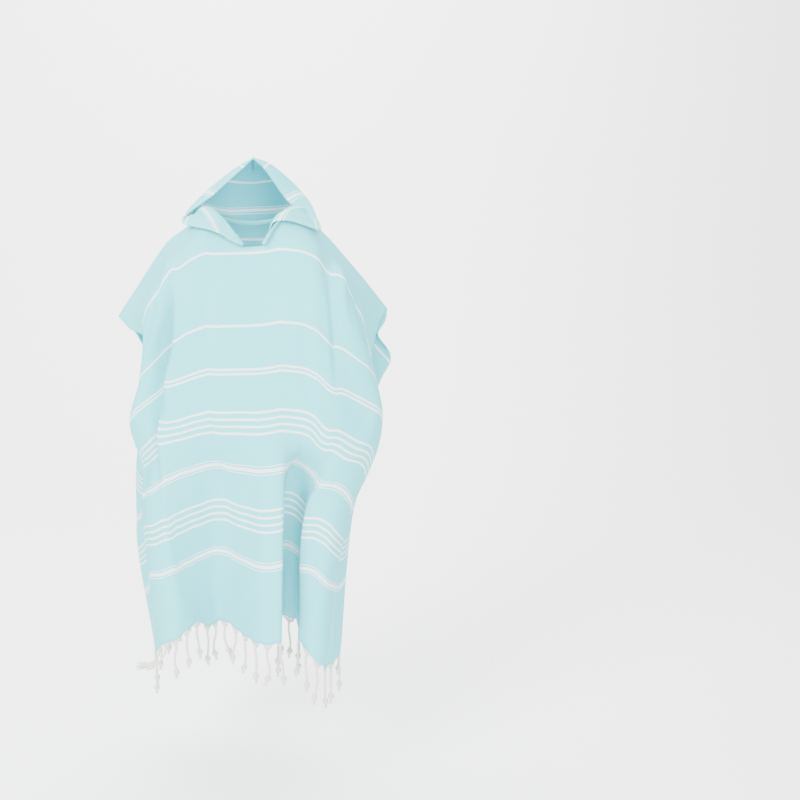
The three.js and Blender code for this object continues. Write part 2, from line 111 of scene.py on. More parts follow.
front_folds = table(station_columns, [
    [-320, -180, -38, -174, -18, -188, -6, -194, 2, -188, -20, -176, -52, 85, 12],
    [-285, -184, -52, -194, -26, -212, -22, -194, -16, -194, -38, -166, -80, 78, 12],
    [-250, -176, -62, -190, -42, -203, -46, -180, -44, -188, -62, -150, -102, 68, 2],
    [-225, -162, -68, -170, -50, -180, -48, -168, -56, -173, -80, -132, -112, 60, -5],
    [-200, -150, -70, -150, -46, -155, -42, -156, -56, -155, -92, -114, -102, 52, -11],
    [-172, -138, -66, -131, -48, -140, -50, -160, -86, -138, -93, -97, -80, 36, -16],
    [-145, -126, -70, -132, -78, -147, -86, -138, -93, -114, -88, -80, -58, 20, 5],
    [-110, -105, -74, -110, -86, -112, -91, -103, -94, -77, -74, -62, -44, 14, 6],
    [-75, -75, -71, -75, -88, -72, -92, -68, -97, -46, -76, -37, -68, 6, 0],
    [-38, -38, -68, -38, -89, -34, -95, -32, -101, -16, -98, -12, -102, 2, 0],
    [0, 0, -67, 2, -90, 4, -97, 5, -106, 14, -120, 14, -136, 0, 0],
    [40, 40, -72, 42, -94, 44, -99, 44, -110, 48, -125, 47, -142, 0, 0],
    [75, 74, -79, 78, -99, 79, -103, 76, -110, 50, -100, 44, -112, 0, 0],
    [108, 103, -80, 105, -100, 105, -106, 98, -116, 56, -70, 46, -78, 10, 0],
    [135, 119, -72, 122, -94, 124, -106, 113, -121, 78, -60, 55, -46, 16, 0],
    [160, 133, -71, 134, -90, 140, -104, 128, -122, 93, -76, 77, -42, 20, 0],
    [182, 148, -73, 152, -88, 160, -98, 146, -119, 92, -106, 84, -64, 18, 0],
    [205, 155, -68, 172, -86, 184, -92, 163, -113, 91, -122, 80, -92, 20, 0],
    [232, 167, -61, 195, -76, 208, -82, 184, -100, 114, -134, 79, -122, 38, 6],
    [262, 185, -46, 212, -52, 219, -56, 196, -78, 144, -126, 96, -150, 66, 12],
    [295, 194, -24, 206, -24, 208, -32, 192, -48, 157, -94, 119, -146, 92, 24],
    [320, 204, -8, 200, 2, 196, -14, 184, -24, 155, -70, 128, -116, 106, 27],
])
back_folds = table(station_columns, [
    [-320, -186, 60, -174, -17, -188, -5, -194, 3, -210, 8, -176, -10, 85, 12],
    [-270, -186, 92, -194, 44, -204, 38, -212, 44, -208, 50, -182, 44, 76, 9],
    [-215, -164, 104, -180, 92, -186, 88, -186, 92, -176, 96, -152, 98, 60, 0],
    [-160, -138, 104, -142, 110, -142, 116, -140, 122, -132, 126, -112, 132, 40, 0],
    [-115, -108, 95, -110, 104, -108, 106, -104, 108, -99, 108, -88, 112, 20, 0],
    [-75, -74, 88, -74, 102, -72, 108, -69, 112, -67, 119, -62, 128, 9, 0],
    [-38, -37, 84, -36, 103, -34, 112, -34, 121, -34, 132, -33, 143, 3, 0],
    [0, 0, 84, 2, 106, 2, 118, 0, 128, 0, 138, -4, 148, 0, 0],
    [38, 38, 84, 40, 103, 38, 109, 35, 116, 32, 120, 25, 127, 3, 0],
    [75, 74, 88, 76, 102, 73, 106, 68, 110, 62, 116, 52, 122, 9, 0],
    [115, 108, 95, 111, 104, 108, 108, 102, 114, 91, 126, 77, 138, 20, 0],
    [160, 140, 102, 144, 108, 142, 108, 138, 112, 128, 120, 112, 130, 40, 0],
    [215, 168, 104, 184, 92, 190, 84, 184, 82, 168, 80, 148, 76, 60, 6],
    [270, 204, 98, 216, 52, 214, 36, 200, 26, 178, 10, 160, -20, 78, 20],
    [320, 238, 72, 200, 3, 196, -13, 184, -23, 155, -69, 128, -115, 106, 27],
])

# Smaller creases, given one by one: where they start and end on the cloth, how wide and how deep they are.
# Each wanders a little to the side, widens downwards and fades out at both ends.
crease_wander = 5
crease_fade = 0.7
edge_fade = 14
crease_columns = ["side", "on", "down", "toOn", "toDown", "width", "depth"]
creases = table(crease_columns, [
    ["front", -60, 130, -95, 300, 16, -3.2],
    ["front", 20, 240, 28, 560, 20, 2.4],
    ["front", -20, 300, -28, 640, 22, -2.7],
    ["front", 82, 120, 92, 420, 15, -4.1],
    ["front", 118, 110, 148, 330, 13, 4.1],
    ["front", -205, 60, -240, 200, 12, -3.5],
    ["front", -165, 40, -190, 170, 11, 3.0],
    ["front", -250, 320, -262, 610, 15, -4.1],
    ["front", -190, 430, -205, 740, 14, 3.5],
    ["front", -150, 420, -140, 700, 15, -2.7],
    ["front", 225, 60, 262, 190, 12, -3.8],
    ["front", 215, 380, 250, 700, 13, -3.0],
    ["front", 240, 260, 215, 420, 14, 3.2],
    ["back", -90, 90, -120, 330, 18, -4.1],
    ["back", 96, 80, 130, 300, 16, 4.1],
    ["back", -20, 260, -30, 620, 20, -3.5],
    ["back", 60, 330, 50, 700, 17, 3.2],
    ["back", -180, 300, -196, 690, 16, 3.5],
    ["back", 196, 280, 180, 640, 16, -3.5],
])

# Places where the cloth is pushed aside: middle and reach on the cloth, and the push in millimetres
pulls = table(["side", "on", "down", "reachOn", "reachDown", "x", "y"], [
    ["back", 320, 46, 34, 24, -16, 0],
    ["back", 322, 100, 30, 24, 10, 3],
    ["back", -320, 150, 34, 30, 8, 0],
])


def shoulder_point(on):
    ons = [row["on"] for row in shoulder]
    return [smooth(ons, [row[axis] for row in shoulder], on) for axis in "xyz"]


def front_neck(on):
    low, high = front_neck_flat
    if on < low:
        rise = (on + neck_half) / (low + neck_half)
    elif on > high:
        rise = (neck_half - on) / (neck_half - high)
    else:
        rise = 1.0
    return front_neck_drop * min(1.0, max(0.0, rise)) ** front_neck_bend


def back_neck(on):
    return back_neck_drop * math.sqrt(max(0.0, 1 - (on / neck_half) ** 2))


def thread(folds, on, distances):
    """One warp thread as points in millimetres at the given distances from the shoulder fold."""
    ons = [row["on"] for row in folds]
    at = {name: smooth(ons, [row[name] for row in folds], on) for name in station_columns[1:]}
    x0, y0, z = shoulder_point(on)
    xs = [at[name + "X"] for name in stations]
    ys = [at[name + "Y"] for name in stations]
    share = min(roll_most, roll_level * roll / math.hypot(xs[0] - x0, ys[0] - y0))
    knots = [0, roll, *stations.values()]
    xs = [x0, x0 + (xs[0] - x0) * share, *xs]
    ys = [y0, y0 + (ys[0] - y0) * share, *ys]
    take_up = at["takeUp"] / (stations["hem"] - stations["chest"])
    before = (smooth(knots, xs, 0), smooth(knots, ys, 0))
    down, points = 0.0, []
    for target in distances:
        while down < target - 1e-9:
            step = min(thread_step, target - down)
            down += step
            now = (smooth(knots, xs, down), smooth(knots, ys, down))
            sideways = math.hypot(now[0] - before[0], now[1] - before[1])
            z -= math.sqrt(max((least_drop * step) ** 2, step ** 2 - sideways ** 2))
            if down > stations["chest"]:
                z += take_up * step
            before = now
        lift = ease(lifted["from"], lifted["full"], down) * (1 - ease(lifted["fading"], lifted["to"], down))
        points.append((*before, z + at["lift"] * lift))
    return points


def grid_normals(points):
    """Unit normals of points[column, row], outward where the columns run left to right in front."""
    across = np.gradient(points, axis=0)
    along = np.gradient(points, axis=1)
    normals = np.cross(along, across)
    return normals / np.linalg.norm(normals, axis=2, keepdims=True)


def crease_depth(side, on, down):
    total = 0.0
    for row in creases:
        if row["side"] != side:
            continue
        share = (down - row["down"]) / (row["toDown"] - row["down"])
        if not 0 < share < 1:
            continue
        middle = row["on"] + (row["toOn"] - row["on"]) * share
        middle += crease_wander * math.sin(share * 5 + row["width"])
        reach = (on - middle) / (row["width"] * (0.8 + 0.5 * share))
        total += row["depth"] * math.exp(-reach * reach) * math.sin(math.pi * share) ** crease_fade
    return total * ease(0, edge_fade, cloth_half - abs(on))


def pull(side, on, down):
    """The push on one place of the cloth, from all the pulls on its side."""
    total = np.zeros(3)
    for row in pulls:
        if row["side"] == side:
            far = ((on - row["on"]) / row["reachOn"]) ** 2 + ((down - row["down"]) / row["reachDown"]) ** 2
            total += np.array([row["x"], row["y"], 0]) * math.exp(-far)
    return total * ease(0, 60, down)


def scallop(on, down):
    """How far the hem is drawn down where a bundle of warp ends leaves it."""
    turns = (on + cloth_half) / (2 * cloth_half / strands_per_hem)
    depth = scallop_depth * ease(body_length - scallop_height, body_length, down)
    return -depth * abs(math.sin(math.pi * turns)) ** 3


columns = np.arange(-cloth_half, cloth_half + 1, column_step)
shares = np.linspace(0, 1, body_rows)


def panel_grid(side, folds, neck):
    downs = np.array([[neck(on) + (body_length - neck(on)) * share for share in shares] for on in columns])
    points = np.array([thread(folds, on, downs[c]) for c, on in enumerate(columns)])
    normals = grid_normals(points) * (1 if side == "front" else -1)
    depth = np.array([[crease_depth(side, on, down) for down in downs[c]] for c, on in enumerate(columns)])
    shift = np.array([[pull(side, on, down) for down in downs[c]] for c, on in enumerate(columns)])
    shift[..., 2] += [[scallop(on, down) for down in downs[c]] for c, on in enumerate(columns)]
    return downs, points + normals * depth[..., None] + shift, normals


front_downs, front_points, front_normals = panel_grid("front", front_folds, front_neck)
back_downs, back_points, back_normals = panel_grid("back", back_folds, back_neck)

# The back's ridge and sewn sides are the front's: those vertices are shared
open_shoulder = np.abs(columns) >= neck_half
back_points[open_shoulder, 0] = front_points[open_shoulder, 0]
for edge in (0, -1):
    sewn = front_downs[edge] > armhole
    both = (front_points[edge] + back_points[edge]) / 2
    front_points[edge][sewn] = both[sewn]
    back_points[edge][sewn] = both[sewn]
    ajar = ~sewn & (back_points[edge][:, 1] < front_points[edge][:, 1])
    back_points[edge][ajar] = front_points[edge][ajar]

count = len(columns) * body_rows
vertices = np.concatenate([front_points.reshape(-1, 3), back_points.reshape(-1, 3)]) / 1000


def front_index(c, r):
    return c * body_rows + r


def back_index(c, r):
    on = columns[c]
    shared = (r == 0 and abs(on) >= neck_half) or (c in (0, len(columns) - 1) and back_downs[c][r] > armhole)
    return front_index(c, r) if shared else count + front_index(c, r)


faces, corners = [], []
for side, index, downs in (("front", front_index, front_downs), ("back", back_index, back_downs)):
    for c in range(len(columns) - 1):
        for r in range(body_rows - 1):
            quad = [(c, r), (c, r + 1), (c + 1, r + 1), (c + 1, r)]
            if side == "back":
                quad.reverse()
            faces.append([index(*spot) for spot in quad])
            sign = 1 if side == "front" else -1
            corners.extend((columns[i] / 1000, sign * downs[i][j] / 1000) for i, j in quad)


def mesh_object(name, points, faces, corners=None):
    """A smooth-shaded object from points and faces, with the cut's own metres as its UV map."""
    mesh = bpy.data.meshes.new(name)
    mesh.from_pydata([tuple(p) for p in points], [], faces)
    if corners is not None:
        uv = mesh.uv_layers.new(name="cut")
        uv.data.foreach_set("uv", np.array(corners, dtype=np.float32).ravel())
    mesh.polygons.foreach_set("use_smooth", [True] * len(mesh.polygons))
    obj = bpy.data.objects.new(name, mesh)
    bpy.context.scene.collection.objects.link(obj)
    return obj


def keep_result(obj):
    """Swaps an object's mesh for the result of its modifiers and removes them."""
    graph = bpy.context.evaluated_depsgraph_get()
    result = obj.evaluated_get(graph)
    made = bpy.data.meshes.new_from_object(result, preserve_all_data_layers=True, depsgraph=graph)
    obj.modifiers.clear()
    old = obj.data
    obj.data = made
    bpy.data.meshes.remove(old)
    made.name = obj.name


def thicken(obj, thickness):
    """Gives a sheet its two faces and its cut edges."""
    solidify = obj.modifiers.new("thickness", "SOLIDIFY")
    solidify.thickness = thickness
    solidify.offset = 0
    keep_result(obj)


body = mesh_object("body_cloth", vertices, faces, corners)
thicken(body, cloth_thickness)

# Cross stripes of the body: distance from the shoulder fold and half width, in millimetres
body_stripes = table(["at", "half"], [
    [105, 2.1],
    [223, 2.1],
    [294.5, 1.9], [302, 1.9],
    [366, 2.1], [378, 2.1], [390, 2.1], [402, 2.1],
    [457, 0.8], [464, 3.1], [471, 0.8],
    [531, 2.1], [543.5, 2.1], [556, 2.1], [568, 2.1],
    [621, 0.8], [628, 3.1], [635, 0.8],
])


def new_group(name, inputs, outputs):
    """An empty shader group; inputs and outputs are (name, socket type, default) rows."""
    group = bpy.data.node_groups.new(name, "ShaderNodeTree")
    for label, kind, default in inputs:
        socket = group.interface.new_socket(label, in_out="INPUT", socket_type=kind)
        if default is not None:
            socket.default_value = default
    for label, kind in outputs:
        group.interface.new_socket(label, in_out="OUTPUT", socket_type=kind)
    return group, group.nodes.new("NodeGroupInput"), group.nodes.new("NodeGroupOutput")


def math_node(tree, operation, *values, clamp=False):
    node = tree.nodes.new("ShaderNodeMath")
    node.operation = operation
    node.use_clamp = clamp
    for socket, value in zip(node.inputs, values):
        if isinstance(value, (int, float)):
            socket.default_value = value
        else:
            tree.links.new(value, socket)
    return node.outputs[0]


# One woven stripe: 1 inside its width, soft at its edges
stripe_group, stripe_in, stripe_out = new_group(
    "woven stripe",
    [
        ("Distance", "NodeSocketFloat", 0.0),
        ("At", "NodeSocketFloat", 0.1),
        ("Half Width", "NodeSocketFloat", 0.002),
    ],
    [("Stripe", "NodeSocketFloat")],
)
gap = math_node(stripe_group, "ABSOLUTE", math_node(
    stripe_group, "SUBTRACT", stripe_in.outputs["Distance"], stripe_in.outputs["At"]))
over = math_node(stripe_group, "SUBTRACT", stripe_in.outputs["Half Width"], gap)
stripe_mask = math_node(stripe_group, "ADD", math_node(stripe_group, "DIVIDE", over, 0.0008), 0.5, clamp=True)
stripe_group.links.new(stripe_mask, stripe_out.inputs["Stripe"])

# Plain weave: yarns over and under each other, with thick and thin places along them
weave_group, weave_in, weave_out = new_group(
    "plain weave",
    [
        ("Across", "NodeSocketFloat", 0.0),
        ("Along", "NodeSocketFloat", 0.0),
        ("Pitch", "NodeSocketFloat", 0.0011),
    ],
    [("Height", "NodeSocketFloat"), ("Slub", "NodeSocketFloat")],
)


def yarn_wave(tree, value, pitch, shift):
    turns = math_node(tree, "ADD", math_node(tree, "DIVIDE", value, pitch), shift)
    return math_node(tree, "SINE", math_node(tree, "MULTIPLY", turns, math.pi))


over_under = math_node(
    weave_group, "MULTIPLY",
    yarn_wave(weave_group, weave_in.outputs["Across"], weave_in.outputs["Pitch"], 0.0),
    yarn_wave(weave_group, weave_in.outputs["Along"], weave_in.outputs["Pitch"], 0.0),
)


def slub(across_scale, along_scale):
    place = weave_group.nodes.new("ShaderNodeCombineXYZ")
    weave_group.links.new(math_node(
        weave_group, "MULTIPLY", weave_in.outputs["Across"], across_scale), place.inputs["X"])
    weave_group.links.new(math_node(
        weave_group, "MULTIPLY", weave_in.outputs["Along"], along_scale), place.inputs["Y"])
    texture = weave_group.nodes.new("ShaderNodeTexNoise")
    texture.inputs["Scale"].default_value = 1.0
    texture.inputs["Detail"].default_value = 2.0
    weave_group.links.new(place.outputs[0], texture.inputs["Vector"])
    return texture.outputs["Fac"]


slubs = math_node(weave_group, "ADD", slub(900.0, 28.0), slub(28.0, 900.0))
weave_height = math_node(weave_group, "ADD", over_under, math_node(weave_group, "MULTIPLY", slubs, 0.9))
weave_group.links.new(weave_height, weave_out.inputs["Height"])
weave_group.links.new(slubs, weave_out.inputs["Slub"])


def cotton_material(name, stripes, aqua, white, mirror_along):
    """Flat-woven cotton with white cross stripes, drawn on the cut's own metres."""
    material = bpy.data.materials.new(name)
    material.use_nodes = True
    tree = material.node_tree
    shader = tree.nodes["Principled BSDF"]
    cut = tree.nodes.new("ShaderNodeUVMap")
    cut.uv_map = "cut"
    parts = tree.nodes.new("ShaderNodeSeparateXYZ")
    tree.links.new(cut.outputs["UV"], parts.inputs[0])
    across, along = parts.outputs["X"], parts.outputs["Y"]
    away = math_node(tree, "ABSOLUTE", along) if mirror_along else along

    drift = tree.nodes.new("ShaderNodeTexNoise")
    drift.noise_dimensions = "2D"
    drift.inputs["Scale"].default_value = 14.0
    drift.inputs["Detail"].default_value = 3.0
    tree.links.new(cut.outputs["UV"], drift.inputs["Vector"])
    wander = math_node(tree, "MULTIPLY", math_node(tree, "SUBTRACT", drift.outputs["Fac"], 0.5), 0.0022)
    away = math_node(tree, "ADD", away, wander)

    mask = None
    for row in stripes:
        stripe = tree.nodes.new("ShaderNodeGroup")
        stripe.node_tree = stripe_group
        stripe.inputs["At"].default_value = row["at"] / 1000
        stripe.inputs["Half Width"].default_value = row["half"] / 1000
        tree.links.new(away, stripe.inputs["Distance"])
        mask = stripe.outputs[0] if mask is None else math_node(tree, "MAXIMUM", mask, stripe.outputs[0])

    weave = tree.nodes.new("ShaderNodeGroup")
    weave.node_tree = weave_group
    tree.links.new(across, weave.inputs["Across"])
    tree.links.new(along, weave.inputs["Along"])

    cloud = tree.nodes.new("ShaderNodeTexNoise")
    cloud.inputs["Scale"].default_value = 9.0
    cloud.inputs["Detail"].default_value = 4.0
    place = tree.nodes.new("ShaderNodeTexCoord")
    tree.links.new(place.outputs["Object"], cloud.inputs["Vector"])

    tone = tree.nodes.new("ShaderNodeMix")
    tone.data_type = "RGBA"
    tone.inputs["A"].default_value = (*[c * 0.93 for c in aqua], 1)
    tone.inputs["B"].default_value = (*[min(1, c * 1.05) for c in aqua], 1)
    blend = math_node(tree, "ADD", math_node(tree, "MULTIPLY", cloud.outputs["Fac"], 0.6),
                      math_node(tree, "MULTIPLY", weave.outputs["Slub"], 0.22), clamp=True)
    tree.links.new(blend, tone.inputs["Factor"])
    striped = tree.nodes.new("ShaderNodeMix")
    striped.data_type = "RGBA"
    striped.inputs["B"].default_value = (*white, 1)
    tree.links.new(tone.outputs["Result"], striped.inputs["A"])
    tree.links.new(mask, striped.inputs["Factor"])
    tree.links.new(striped.outputs["Result"], shader.inputs["Base Color"])

    rough = math_node(tree, "ADD", math_node(tree, "MULTIPLY", weave.outputs["Slub"], 0.08), 0.82, clamp=True)
    tree.links.new(rough, shader.inputs["Roughness"])
    shader.inputs["Sheen Weight"].default_value = 0.08
    shader.inputs["Sheen Roughness"].default_value = 0.6
    shader.inputs["Specular IOR Level"].default_value = 0.12

    raised = math_node(tree, "ADD", weave.outputs["Height"], math_node(tree, "MULTIPLY", mask, 0.8))
    bump = tree.nodes.new("ShaderNodeBump")
    bump.inputs["Strength"].default_value = 0.35
    bump.inputs["Distance"].default_value = 0.0003
    tree.links.new(raised, bump.inputs["Height"])
    crumple = tree.nodes.new("ShaderNodeTexNoise")
    crumple.inputs["Scale"].default_value = 26.0
    crumple.inputs["Detail"].default_value = 4.0
    tree.links.new(place.outputs["Object"], crumple.inputs["Vector"])
    soft = tree.nodes.new("ShaderNodeBump")
    soft.inputs["Strength"].default_value = 0.3
    soft.inputs["Distance"].default_value = 0.004
    tree.links.new(crumple.outputs["Fac"], soft.inputs["Height"])
    tree.links.new(soft.outputs["Normal"], bump.inputs["Normal"])
    tree.links.new(bump.outputs["Normal"], shader.inputs["Normal"])

    # Light that comes through the thin cloth
    through = tree.nodes.new("ShaderNodeBsdfTranslucent")
    tree.links.new(striped.outputs["Result"], through.inputs["Color"])
    both = tree.nodes.new("ShaderNodeMixShader")
    both.inputs["Fac"].default_value = 0.3
    tree.links.new(shader.outputs["BSDF"], both.inputs[1])
    tree.links.new(through.outputs["BSDF"], both.inputs[2])
    tree.links.new(both.outputs["Shader"], tree.nodes["Material Output"].inputs["Surface"])
    return material


aqua = (0.15, 0.71, 0.77)
stripe_white = (0.86, 0.90, 0.91)
body.data.materials.append(cotton_material("cotton body", body_stripes, aqua, stripe_white, True))
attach(body, "root")
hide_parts("front", "back")


# Hood: one piece of the same cloth folded at the middle of the back, sewn round the neck opening and along
# a short seam on top. It lies open, its sides turned out over the shoulders. Its front edge is hemmed.
hood_height = 305.0
hood_half_width = 225.0
hood_taper = 0.35
roll_radius = 4.5
hood_columns_count = 145
hood_rows = 92
hem_width = 19.0
hem_columns = 8
hem_gap = 1.25
hem_round = 0.9
seam_radius = 1.5
seam_half = 0.25
seam_lean = 0.3
seam_sides = 10
hood_levels = {"collar": 30, "corner": 50, "flap": 75, "tip": 140, "wide": 214, "thin": 284}
hood_names = ["round"] + [name + axis for name in hood_levels for axis in "XYZ"] + ["topY", "topZ"]
hood_lines = table(hood_names, [
    [-1, -38, -76, -52, -52, -74, -43, -68, -71, -37, -118, -26, -23, -67, 10, 20, -17, 17, 64, 15, 79],
    [-0.93, -43, -65, -40, -56, -62, -33, -74, -57, -27, -115, -12, -18, -79, 25, 23, -24, 28, 66, 25, 79],
    [-0.86, -48, -54, -28, -61, -50, -22, -80, -42, -16, -106, 2, -12, -86, 40, 18, -32, 40, 60, 35, 78],
    [-0.7, -64, -26, -6, -76, -20, -4, -90, -12, -6, -102, 26, -16, -90, 62, 3, -40, 58, 52, 54, 77],
    [-0.5, -82, 14, 0, -90, 18, -4, -94, 24, -12, -98, 62, -26, -70, 102, -4, -48, 84, 44, 76, 72],
    [-0.25, -62, 64, -14, -70, 72, -22, -76, 84, -38, -78, 118, -58, -44, 136, -9, -38, 108, 42, 98, 66],
    [0, 2, 86, -26, 0, 98, -38, 0, 114, -54, 0, 150, -78, 0, 150, -8, 0, 124, 40, 110, 60],
    [0.25, 64, 64, -16, 70, 72, -24, 76, 84, -40, 78, 118, -58, 46, 136, -6, 36, 108, 44, 98, 66],
    [0.5, 82, 14, -2, 90, 18, -5, 94, 24, -14, 98, 62, -26, 74, 100, 0, 46, 84, 46, 76, 72],
    [0.7, 62, -20, 0, 72, -14, 0, 84, -8, -4, 102, 26, -18, 90, 62, 6, 40, 58, 56, 54, 77],
    [0.86, 38, -38, -18, 48, -38, -8, 66, -34, -6, 104, -2, -18, 88, 38, 18, 34, 40, 66, 35, 79],
    [0.93, 31, -47, -32, 40, -50, -15, 62, -48, -13, 108, -16, -24, 76, 26, 20, 27, 28, 70, 25, 80],
    [1, 26, -56, -44, 33, -62, -25, 57, -62, -22, 112, -34, -37, 58, 10, 11, 19, 17, 63, 15, 79],
])

# The neckline the hood is sewn to, from the left of the flat front round the back to its right
low_flat, high_flat = front_neck_flat
loop = [(front_points[c, 0], front_normals[c, 0]) for c in range(len(columns))[::-1]
        if -neck_half <= columns[c] <= low_flat]
loop += [(back_points[c, 0], back_normals[c, 0]) for c in range(len(columns)) if abs(columns[c]) < neck_half]
loop += [(front_points[c, 0], front_normals[c, 0]) for c in range(len(columns))[::-1]
         if high_flat <= columns[c] <= neck_half]
loop_points = np.array([p for p, _ in loop])
loop_normals = np.array([n for _, n in loop])
loop_tangents = np.gradient(loop_points, axis=0)
loop_runs = np.cross(loop_tangents, loop_normals)
loop_runs /= np.linalg.norm(loop_runs, axis=1, keepdims=True)
loop_reach = np.concatenate([[0], np.cumsum(np.linalg.norm(np.diff(loop_points, axis=0), axis=1))])


def on_loop(values, share):
    target = share * loop_reach[-1]
    return np.array([np.interp(target, loop_reach, values[:, k]) for k in range(3)])


def hood_line(round_, rises):
    """One line of the hood from the neck seam to the top seam, as points at the given rises. It leaves the
    neckline in a soft roll, which is small at the back of the neck and full at the front.
    """
    share = (round_ + 1) / 2
    start, run, normal = (on_loop(values, share) for values in (loop_points, loop_runs, loop_normals))
    normal = normal / np.linalg.norm(normal)
    radius = roll_radius * (0.4 + 0.6 * ease(0.45, 0.9, abs(round_)))
    quarter = radius * math.pi / 2
    knots = [0, quarter, 2 * quarter, *hood_levels.values(), hood_height]
    rounds = [row["round"] for row in hood_lines]
    at = {name: smooth(rounds, [row[name] for row in hood_lines], round_) for name in hood_names[1:]}
    stand = start + radius * (run + normal)
    crest = start + 2 * radius * normal
    side = math.copysign(min(1.0, abs(round_) * 8), round_) if round_ else 0.0
    top_x = side * seam_half
    tracks = []
    for k, axis in enumerate("XYZ"):
        top = top_x if axis == "X" else at["top" + axis]
        tracks.append([start[k], stand[k], crest[k], *[at[name + axis] for name in hood_levels], top])
    return [[smooth(knots, track, rise) for track in tracks] for rise in rises]


rounds = np.linspace(1, -1, hood_columns_count)
rises = hood_height * (1 - np.linspace(0, 1, hood_rows))
hood_points = np.array([hood_line(r, rises) for r in rounds])
hood_normals = grid_normals(hood_points)
half_widths = hood_half_width - hood_taper * rises


def edge_column(side, inward, half_width):
    """The grid column before a place inward millimetres from the front edge, and the share beyond it."""
    step = inward / half_width * (hood_columns_count - 1) / 2
    at = step if side > 0 else hood_columns_count - 1 - step
    low = min(hood_columns_count - 2, int(at))
    return low, at - low


def beside_edge(values, side, inward):
    """Points or normals of the hood's cloth along its front edge, inward millimetres from it."""
    line = []
    for r, half_width in enumerate(half_widths):
        low, share = edge_column(side, inward, half_width)
        line.append(values[low, r] * (1 - share) + values[low + 1, r] * share)
    return np.array(line)


def hem_layer(side):
    """Columns of the turned hem: round the edge, then back on the inside of the cloth."""
    edge = 0 if side > 0 else -1
    outward = hood_points[edge] - hood_points[edge + side]
    outward /= np.linalg.norm(outward, axis=1, keepdims=True)
    fold = hood_points[edge] + outward * hem_round - hood_normals[edge] * hem_gap / 2
    layer, spread = [fold], [half_widths]
    for step in range(hem_columns):
        inward = hem_width * step / (hem_columns - 1)
        normals = beside_edge(hood_normals, side, inward)
        layer.append(beside_edge(hood_points, side, inward) - normals * hem_gap)
        spread.append(half_widths - inward)
    return layer, [side * across for across in spread]


right_layer, right_spread = hem_layer(1)
left_layer, left_spread = hem_layer(-1)
hood_grid = np.array(right_layer[::-1] + list(hood_points) + left_layer)
hood_spread = np.array(right_spread[::-1] + [r * half_widths for r in rounds] + left_spread)
hood_faces, hood_corners = [], []
for c in range(len(hood_grid) - 1):
    for r in range(hood_rows - 1):
        quad = [(c, r), (c, r + 1), (c + 1, r + 1), (c + 1, r)]
        hood_faces.append([i * hood_rows + j for i, j in quad])
        hood_corners.extend((hood_spread[i, j] / 1000, rises[j] / 1000) for i, j in quad)
hood = mesh_object("hood_cloth", hood_grid.reshape(-1, 3) / 1000, hood_faces, hood_corners)
thicken(hood, cloth_thickness)

# The top seam: its allowances lie together as a narrow round welt between the two halves
hood_middle = hood_columns_count // 2
seam_centres = (hood_points[:hood_middle + 1, 0] + hood_points[::-1][:hood_middle + 1, 0]) / 2
seam_points, seam_faces, seam_corners = [], [], []
for ring, centre in enumerate(seam_centres):
    for k in range(seam_sides):
        angle = 2 * math.pi * k / seam_sides
        rim = np.array([math.cos(angle), seam_lean * math.sin(angle), math.sin(angle)])
        seam_points.append(centre + seam_radius * rim)
for ring in range(len(seam_centres) - 1):
    for k in range(seam_sides):
        quad = [(ring, k), (ring, k + 1), (ring + 1, k + 1), (ring + 1, k)]
        seam_faces.append([i * seam_sides + j % seam_sides for i, j in quad])
        seam_corners.extend((i * 0.0016, 0.25 + j * 0.001) for i, j in quad)
for ring in (0, len(seam_centres) - 1):
    seam_faces.append([ring * seam_sides + k for k in range(seam_sides)][::1 if ring else -1])
    seam_corners.extend((0.0, 0.25) for k in range(seam_sides))
hood_welt = mesh_object("hood_top_welt", np.array(seam_points) / 1000, seam_faces, seam_corners)

# Cross stripes of the hood, by their distance above the neck seam
hood_stripes = table(["at", "half"], [
    [53, 0.8], [60, 3.1], [67, 0.8],
    [122, 2.1], [134, 2.1], [146, 2.1], [158, 2.1],
    [207, 0.8], [214, 3.1], [221, 0.8],
    [284, 2.1],
])
hood.data.materials.append(cotton_material("cotton hood", hood_stripes, aqua, stripe_white, False))
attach(hood, "root")
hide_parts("hood")
hood_welt.data.materials.append(hood.data.materials[0])
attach(hood_welt, "root")


# Stitching: rows of white cotton stitches along the hood's front hem, its top seam, the neckline and the side
# seams. Each row is a line of points on the cloth; a Geometry Nodes group sets one stitch per pitch on it.
stitch_material = bpy.data.materials.new("stitching thread")
stitch_material.use_nodes = True
tree = stitch_material.node_tree
shader = tree.nodes["Principled BSDF"]
place = tree.nodes.new("ShaderNodeTexCoord")
strands = tree.nodes.new("ShaderNodeTexNoise")
strands.inputs["Scale"].default_value = 900.0
tree.links.new(place.outputs["Object"], strands.inputs["Vector"])
tint = tree.nodes.new("ShaderNodeMix")
tint.data_type = "RGBA"
tint.inputs["A"].default_value = (0.50, 0.70, 0.74, 1)
tint.inputs["B"].default_value = (0.78, 0.88, 0.90, 1)
tree.links.new(strands.outputs["Fac"], tint.inputs["Factor"])
tree.links.new(tint.outputs["Result"], shader.inputs["Base Color"])
tree.links.new(math_node(tree, "ADD", strands.outputs["Fac"], 0.2, clamp=True), shader.inputs["Roughness"])
bump = tree.nodes.new("ShaderNodeBump")
bump.inputs["Strength"].default_value = 0.3
bump.inputs["Distance"].default_value = 0.0001
tree.links.new(strands.outputs["Fac"], bump.inputs["Height"])
tree.links.new(bump.outputs["Normal"], shader.inputs["Normal"])

